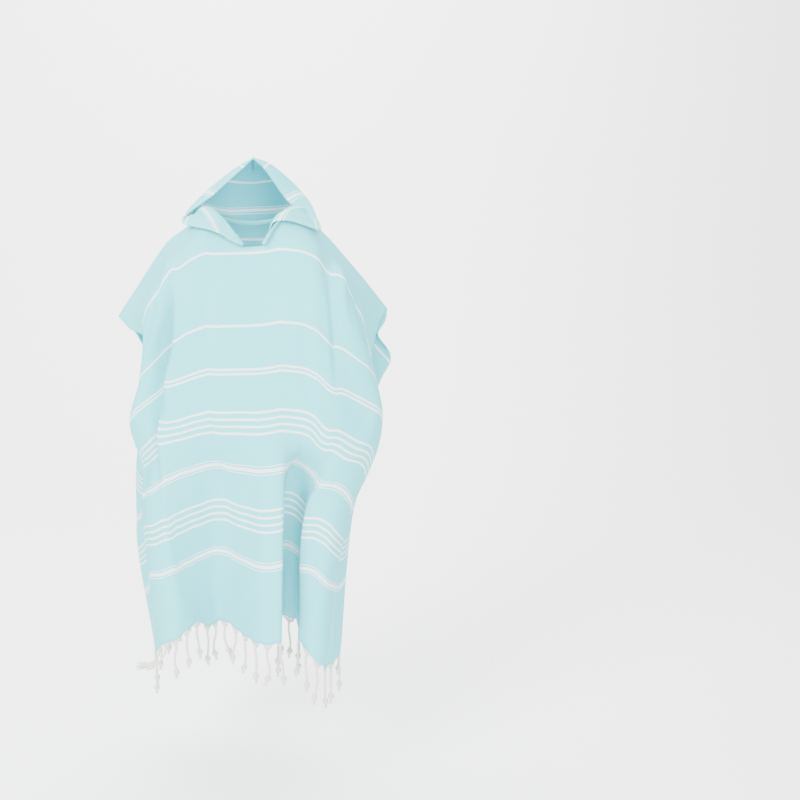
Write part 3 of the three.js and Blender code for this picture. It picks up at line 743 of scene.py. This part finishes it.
stitch_nodes = bpy.data.node_groups.new("stitch row", "GeometryNodeTree")
stitch_nodes.interface.new_socket("Line", in_out="INPUT", socket_type="NodeSocketGeometry")
for label, default in (("Pitch", 0.0034), ("Length", 0.0024), ("Thread Radius", 0.00032)):
    socket = stitch_nodes.interface.new_socket(label, in_out="INPUT", socket_type="NodeSocketFloat")
    socket.default_value = default
stitch_nodes.interface.new_socket("Seed", in_out="INPUT", socket_type="NodeSocketInt").default_value = 5
stitch_nodes.interface.new_socket("Stitches", in_out="OUTPUT", socket_type="NodeSocketGeometry")
rows_in = stitch_nodes.nodes.new("NodeGroupInput")
rows_out = stitch_nodes.nodes.new("NodeGroupOutput")
curve = stitch_nodes.nodes.new("GeometryNodeMeshToCurve")
spaced = stitch_nodes.nodes.new("GeometryNodeResampleCurve")
spaced.mode = "LENGTH"
tangent = stitch_nodes.nodes.new("GeometryNodeInputTangent")
held = stitch_nodes.nodes.new("GeometryNodeStoreNamedAttribute")
held.data_type = "FLOAT_VECTOR"
held.inputs["Name"].default_value = "way"
points_node = stitch_nodes.nodes.new("GeometryNodeCurveToPoints")
points_node.mode = "EVALUATED"
way = stitch_nodes.nodes.new("GeometryNodeInputNamedAttribute")
way.data_type = "FLOAT_VECTOR"
way.inputs["Name"].default_value = "way"
turned = stitch_nodes.nodes.new("FunctionNodeAlignRotationToVector")
turned.axis = "Z"
one = stitch_nodes.nodes.new("GeometryNodeMeshUVSphere")
one.inputs["Segments"].default_value = 6
one.inputs["Rings"].default_value = 4
one.inputs["Radius"].default_value = 1.0
uneven = stitch_nodes.nodes.new("FunctionNodeRandomValue")
uneven.data_type = "FLOAT"
uneven.inputs[2].default_value = 0.82
uneven.inputs[3].default_value = 1.12
size_node = stitch_nodes.nodes.new("ShaderNodeCombineXYZ")
half_length = stitch_nodes.nodes.new("ShaderNodeMath")
half_length.operation = "MULTIPLY"
half_length.inputs[1].default_value = 0.5
long_node = stitch_nodes.nodes.new("ShaderNodeMath")
long_node.operation = "MULTIPLY"
laid = stitch_nodes.nodes.new("GeometryNodeInstanceOnPoints")
real = stitch_nodes.nodes.new("GeometryNodeRealizeInstances")
painted = stitch_nodes.nodes.new("GeometryNodeSetMaterial")
painted.inputs["Material"].default_value = stitch_material
for start, end in (
    (rows_in.outputs["Line"], curve.inputs["Mesh"]),
    (curve.outputs["Curve"], spaced.inputs["Curve"]),
    (rows_in.outputs["Pitch"], spaced.inputs["Length"]),
    (spaced.outputs["Curve"], held.inputs["Geometry"]),
    (tangent.outputs["Tangent"], held.inputs["Value"]),
    (held.outputs["Geometry"], points_node.inputs["Curve"]),
    (way.outputs["Attribute"], turned.inputs["Vector"]),
    (rows_in.outputs["Seed"], uneven.inputs["Seed"]),
    (rows_in.outputs["Length"], half_length.inputs[0]),
    (half_length.outputs[0], long_node.inputs[0]),
    (uneven.outputs[1], long_node.inputs[1]),
    (rows_in.outputs["Thread Radius"], size_node.inputs["X"]),
    (rows_in.outputs["Thread Radius"], size_node.inputs["Y"]),
    (long_node.outputs[0], size_node.inputs["Z"]),
    (points_node.outputs["Points"], laid.inputs["Points"]),
    (one.outputs["Mesh"], laid.inputs["Instance"]),
    (turned.outputs["Rotation"], laid.inputs["Rotation"]),
    (size_node.outputs["Vector"], laid.inputs["Scale"]),
    (laid.outputs["Instances"], real.inputs["Geometry"]),
    (real.outputs["Geometry"], painted.inputs["Geometry"]),
    (painted.outputs["Geometry"], rows_out.inputs["Stitches"]),
):
    stitch_nodes.links.new(start, end)


def stitch_rows(name, lines, seed):
    """One object with the stitches of all the given lines, each a list of points in millimetres."""
    points, edges = [], []
    for line in lines:
        first = len(points)
        points.extend(tuple(p / 1000) for p in line)
        edges.extend((first + k, first + k + 1) for k in range(len(line) - 1))
    mesh = bpy.data.meshes.new(name)
    mesh.from_pydata(points, edges, [])
    obj = bpy.data.objects.new(name, mesh)
    bpy.context.scene.collection.objects.link(obj)
    rows = obj.modifiers.new("stitches", "NODES")
    rows.node_group = stitch_nodes
    seed_socket = next(item for item in stitch_nodes.interface.items_tree if item.name == "Seed")
    rows[seed_socket.identifier] = seed
    keep_result(obj)
    obj.data.polygons.foreach_set("use_smooth", [True] * len(obj.data.polygons))
    return obj


stitch_out = 1000 * cloth_thickness / 2 + 0.1
hem_stitches_in = 2.5
seam_stitches_down = 5
neck_stitches_up = 11
hem_lines = []
for side in (1, -1):
    for inward in (hem_stitches_in, hem_width - hem_stitches_in):
        line = beside_edge(hood_points, side, inward)
        before = [edge_column(side, inward, half_width)[0] for half_width in half_widths]
        way_out = hood_normals[before, range(hood_rows)]
        hem_lines += [line + way_out * stitch_out, line - way_out * (hem_gap + stitch_out)]
seam_row = next(r for r in range(hood_rows) if rises[r] < hood_height - seam_stitches_down)
hem_lines += [hood_points[first:last, seam_row] + hood_normals[first:last, seam_row] * stitch_out
              for first, last in ((0, hood_middle - 6), (hood_middle + 7, hood_columns_count))]
neck_row = next(r for r in range(hood_rows) if rises[r] < neck_stitches_up)
hem_lines.append(hood_points[:, neck_row] + hood_normals[:, neck_row] * stitch_out)
hood_stitches = stitch_rows("hood_stitches", hem_lines, 11)
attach(hood_stitches, "root")

side_lines = []
for grid, normals, downs in (
    (front_points, front_normals, front_downs),
    (back_points, back_normals, back_downs),
):
    for column in (1, len(columns) - 2):
        sewn = downs[column] > armhole - 12
        side_lines.append(grid[column][sewn] + normals[column][sewn] * stitch_out)
flat = [c for c in range(len(columns)) if front_neck_flat[0] - 2 <= columns[c] <= front_neck_flat[1] + 2]
side_lines.append(front_points[flat, 1] + front_normals[flat, 1] * stitch_out)
body_stitches = stitch_rows("body_stitches", side_lines, 23)
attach(body_stitches, "root")


# Fringes: the warp ends beyond each hem, gathered in bundles, twisted into two-ply strands and knotted.
# Each strand springs from the hem's own edge; its knot is tied near the end and leaves a short tail.
ply_radius = 1.25
twist_radius = 1.05
twist_pitch = 8.5
knot_at = 56.0
strand_end = 74.0
strand_habits = {
    "front": table(["strand", "side", "forward", "longer", "curl"], [
        [0, 0, -6, -20, 2.2],
        [1, 0, 4, -13, 1.9],
        [2, 0, -5, -6, 1.4],
        [5, 7, -4, -4, 0],
        [8, 8, 2, -6, 0],
        [9, -9, -2, -6, 0],
        [13, 6, 0, 4, 0],
        [17, 5, -6, 0, 0],
        [21, 4, 3, 6, 0],
    ]),
    "back": table(["strand", "side", "forward", "longer", "curl"], [
        [3, -6, 3, 2, 0],
        [9, 5, -2, -3, 0],
        [15, -4, 4, 4, 0],
        [20, 7, 2, 0, 0],
    ]),
}


class Soup:
    """Collects points and faces of many small pieces that become one mesh."""

    def __init__(self):
        self.points, self.faces = [], []

    def tube(self, path, radii, sides):
        """A closed tube along the path, with a radius at each of its points."""
        path = np.asarray(path, float)
        ahead = np.gradient(path, axis=0)
        ahead /= np.linalg.norm(ahead, axis=1, keepdims=True) + 1e-12
        first = len(self.points)
        guide = np.array([0.31, 0.92, 0.2])
        for centre, way, radius in zip(path, ahead, radii):
            u = np.cross(way, guide)
            u /= np.linalg.norm(u)
            v = np.cross(way, u)
            for k in range(sides):
                angle = 2 * math.pi * k / sides
                self.points.append(centre + radius * (u * math.cos(angle) + v * math.sin(angle)))
        for ring in range(len(path) - 1):
            for k in range(sides):
                a, b = first + ring * sides + k, first + ring * sides + (k + 1) % sides
                self.faces.append((a, b, b + sides, a + sides))
        self.faces.append(tuple(first + k for k in range(sides))[::-1])
        self.faces.append(tuple(first + (len(path) - 1) * sides + k for k in range(sides)))


def hem_spot(points, on):
    """Place on the hem, the way the cloth runs there and the way across it."""
    last = points[:, -1]
    spot = np.array([np.interp(on, columns, last[:, k]) for k in range(3)])
    run = np.array([np.interp(on, columns, (last - points[:, -3])[:, k]) for k in range(3)])
    across = np.array([np.interp(on, columns, np.gradient(last, axis=0)[:, k]) for k in range(3)])
    return spot, run / np.linalg.norm(run), across / np.linalg.norm(across)


def flat_turn(angle, rise=0.0):
    """Point of a unit circle seen from above, tilted by the given rise."""
    return np.array([math.cos(angle), math.sin(angle), rise * math.sin(angle)])


def strand_path(points, side, strand, on):
    """A strand's middle line as a function of the length from the hem, its length and its random source."""
    spot, run, across = hem_spot(points, on)
    habit = next((row for row in strand_habits[side] if row["strand"] == strand), None)
    habit = habit or {"side": 0, "forward": 0, "longer": 0, "curl": 0}
    chance = random.Random(101 * strand + (7 if side == "front" else 31))
    wave, phase, lean = chance.uniform(1.6, 3.6), chance.uniform(0, 6.3), chance.uniform(-4, 4)
    end = strand_end + habit["longer"] + chance.uniform(-3, 3)
    sag_side, sag_out = habit["side"] + lean, habit["forward"] + chance.uniform(-3, 3)

    def at(down):
        share = max(0.0, down) / end
        sway = wave * math.sin(down * 0.1 + phase) * min(1.0, share * 3)
        drop = down * math.sqrt(max(0.2, 1 - (sag_side * share * 1.6 / end) ** 2))
        gather = math.exp(-max(0.0, down) / 9)
        level = np.array([sag_side * share * share, sag_out * share, 0])
        level += sway * np.array([across[0], across[1], 0])
        if habit["curl"]:
            bend = habit["curl"] * share
            level[0] -= end / habit["curl"] * (1 - math.cos(bend))
            drop = end / habit["curl"] * math.sin(bend)
        return spot + level + np.array([0, 0, -drop]) * (1 - gather * 0.4) + run * down * gather * 0.4

    return at, end, chance


def add_strand(soup, at, end, chance):
    """Two plies, the knot and the loose tail of one strand."""
    knot = knot_at + (end - strand_end) * 0.8
    steps = np.arange(-1.5, knot + 1.5, 1.5)
    for ply in (0, math.pi):
        path = []
        for down in steps:
            turn = ply + 2 * math.pi * down / twist_pitch
            grow = min(1.0, max(0.35, down / 8))
            path.append(at(down) + twist_radius * grow * flat_turn(turn))
        soup.tube(path, [ply_radius] * len(path), 7)
    # The knot: the strand laid round itself in two and a half turns, fat in the middle
    loops = np.linspace(0, 1, 46)
    path = []
    for s in loops:
        turn = s * 2 * math.pi * 2.6 + 1.3
        lift = (s - 0.5) * 9.5
        reach = 3.3 * math.sin(math.pi * min(1, max(0, s * 0.94 + 0.03))) ** 0.5
        path.append(at(knot + 4.2 + lift) + reach * flat_turn(turn, 0.16))
    soup.tube(path, [2.15] * len(path), 8)
    core = [at(knot + d) for d in (-2, 0, 3, 6, 8.5, 10)]
    soup.tube(core, [2.2, 3.1, 3.8, 3.8, 3.0, 1.8], 10)
    # The tail: loose ends of the bundle
    for k in range(7):
        turn = 2 * math.pi * k / 7 + chance.uniform(-0.4, 0.4)
        spread = chance.uniform(0.5, 2.1)
        length = chance.uniform(0.72, 1.05) * (end - knot - 8)
        path = [at(knot + 8 + length * f) + (0.7 + spread * f) * flat_turn(turn) for f in (0, 0.35, 0.7, 1)]
        soup.tube(path, [0.75, 0.8, 0.7, 0.35], 5)


def add_gathering(soup, points, at, on):
    """Warp ends on either side that run slantwise into the strand just below the hem."""
    pitch = 2 * cloth_half / strands_per_hem
    for k in range(-5, 6):
        if k == 0:
            continue
        begin, run, _ = hem_spot(points, min(cloth_half, max(-cloth_half, on + k * pitch / 11.5)))
        finish = at(5.5 + 1.1 * abs(k))
        path = [begin - run * 1.0, begin * 0.62 + finish * 0.38 + run * 0.4, finish]
        soup.tube(path, [0.55, 0.6, 0.6], 5)


fringe_material = bpy.data.materials.new("fringe cotton")
fringe_material.use_nodes = True
tree = fringe_material.node_tree
shader = tree.nodes["Principled BSDF"]
place = tree.nodes.new("ShaderNodeTexCoord")
fuzz = tree.nodes.new("ShaderNodeTexNoise")
fuzz.inputs["Scale"].default_value = 420.0
fuzz.inputs["Detail"].default_value = 3.0
tree.links.new(place.outputs["Object"], fuzz.inputs["Vector"])
tint = tree.nodes.new("ShaderNodeMix")
tint.data_type = "RGBA"
tint.inputs["A"].default_value = (0.42, 0.41, 0.38, 1)
tint.inputs["B"].default_value = (0.74, 0.72, 0.68, 1)
tree.links.new(fuzz.outputs["Fac"], tint.inputs["Factor"])
tree.links.new(tint.outputs["Result"], shader.inputs["Base Color"])
rough = math_node(tree, "ADD", math_node(tree, "MULTIPLY", fuzz.outputs["Fac"], 0.15), 0.78, clamp=True)
tree.links.new(rough, shader.inputs["Roughness"])
shader.inputs["Sheen Weight"].default_value = 0.1
bump = tree.nodes.new("ShaderNodeBump")
bump.inputs["Strength"].default_value = 0.5
bump.inputs["Distance"].default_value = 0.0004
tree.links.new(fuzz.outputs["Fac"], bump.inputs["Height"])
tree.links.new(bump.outputs["Normal"], shader.inputs["Normal"])

for side, points in (("front", front_points), ("back", back_points)):
    soup = Soup()
    for strand in range(strands_per_hem):
        on = -cloth_half + (strand + 0.5) * 2 * cloth_half / strands_per_hem
        at, end, chance = strand_path(points, side, strand, on)
        add_strand(soup, at, end, chance)
        add_gathering(soup, points, at, on)
    fringe = mesh_object(side + "_fringe_strands", np.array(soup.points) / 1000, soup.faces)
    fringe.data.materials.append(fringe_material)
    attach(fringe, "root")
    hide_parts(side + "_fringe")


# Floor: a pale studio sweep, well below the hem, that rises behind the garment.
floor_z = -1.02
profile = [(-4.0, 0.0), (1.6, 0.0)]
profile += [(1.6 + 1.2 * math.sin(a), 1.2 - 1.2 * math.cos(a)) for a in np.linspace(0.15, math.pi / 2, 12)]
profile += [(2.8, 5.0)]
sweep_points = [(x, y, floor_z + z) for x in (-6.0, 6.0) for y, z in profile]
n = len(profile)
sweep_faces = [(k, k + n, k + n + 1, k + 1) for k in range(n - 1)]
floor = mesh_object("studio_floor", sweep_points, sweep_faces)
floor_material = bpy.data.materials.new("studio paper")
floor_material.use_nodes = True
floor_material.node_tree.nodes["Principled BSDF"].inputs["Base Color"].default_value = (0.93, 0.93, 0.93, 1)
floor_material.node_tree.nodes["Principled BSDF"].inputs["Roughness"].default_value = 0.9
floor.data.materials.append(floor_material)


# Light: a broad soft key from the upper left, a fill from the right and a white surround.
def area_light(name, place, aim, size, power):
    data = bpy.data.lights.new(name, "AREA")
    data.shape = "SQUARE"
    data.size = size
    data.energy = power
    light = bpy.data.objects.new(name, data)
    light.location = place
    light.rotation_euler = (Vector(aim) - Vector(place)).to_track_quat("-Z", "Y").to_euler()
    bpy.context.scene.collection.objects.link(light)


area_light("key", (-1.7, -1.9, 1.3), (0, 0, -0.35), 1.1, 200)
area_light("fill", (0.5, -2.6, 0.4), (0, 0, -0.3), 1.6, 150)
area_light("backdrop", (0, 1.0, 1.6), (0, 2.4, -0.2), 2.4, 170)
world = bpy.data.worlds.new("studio")
world.use_nodes = True
world.node_tree.nodes["Background"].inputs["Color"].default_value = (1, 1, 1, 1)
world.node_tree.nodes["Background"].inputs["Strength"].default_value = 1.8
bpy.context.scene.world = world


# Camera: level with the neck and 13 degrees down, 1.85 m off; the garment stands left of the middle.
elevation = math.radians(13)
distance = 1.85
target = Vector((0, 0, -0.4))
camera_data = bpy.data.cameras.new("camera")
camera_data.sensor_width = 36
camera_data.lens = 1051 * 36 / 800
camera_data.shift_x = (400 - 253) / 800
camera_data.shift_y = (439 - 400) / 800
camera = bpy.data.objects.new("camera", camera_data)
camera.location = target + distance * Vector((0, -math.cos(elevation), math.sin(elevation)))
camera.rotation_euler = (math.pi / 2 - elevation, 0, 0)
bpy.context.scene.collection.objects.link(camera)
bpy.context.scene.camera = camera
